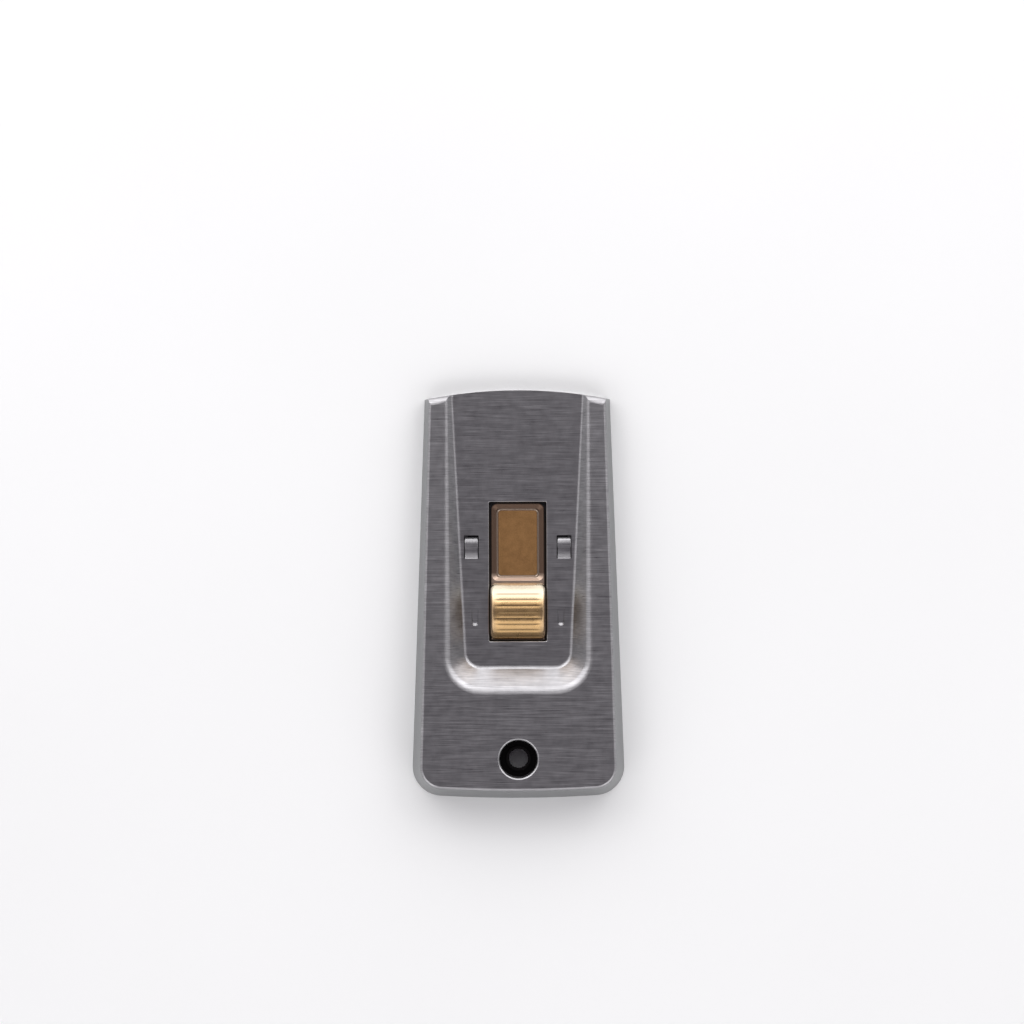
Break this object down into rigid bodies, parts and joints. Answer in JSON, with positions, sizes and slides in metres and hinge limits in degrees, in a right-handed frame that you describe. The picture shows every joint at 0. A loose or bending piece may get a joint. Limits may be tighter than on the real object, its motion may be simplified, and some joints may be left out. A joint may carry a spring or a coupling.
{
  "type": "razor blade scraper",
  "caption": "Retractable razor blade scraper: pressed steel covers with a tapered flat body, a brass-coloured thumb slide and a blade on a sliding carrier.",
  "frame": {"origin": "middle of the body's footprint, on the flat back face", "axes": "+X to the right seen from the front, +Y towards the blade end, +Z out of the front face"},
  "size_m": [0.0466, 0.0896, 0.0094],
  "materials": {
    "front_cover": "fine brushing across the body",
    "back_cover": "fine brushing across the body",
    "thumb_slide": "bright, brass coloured",
    "blade_carrier": "plain rolled steel",
    "lock_spring": "tempered spring steel",
    "spring_rivet": "plain",
    "blade": "rolled strip with a ground cutting edge",
    "blade_spine": "folded strip"
  },
  "bodies": {
    "covers": {"front_cover": "front_cover", "back_cover": "back_cover"},
    "slide": {"thumb_slide": "thumb_slide", "blade_carrier": "blade_carrier", "lock_spring": "lock_spring", "spring_rivet_left": "spring_rivet", "spring_rivet_right": "spring_rivet", "blade": "blade", "blade_spine": "blade_spine"}
  },
  "joints": [
    {"name": "blade_slide", "type": "slide", "parent": "covers", "child": "slide", "axis": [0, 1, 0], "range_m": [0, 0.0173], "deforming": ["lock_spring"]}
  ]
}
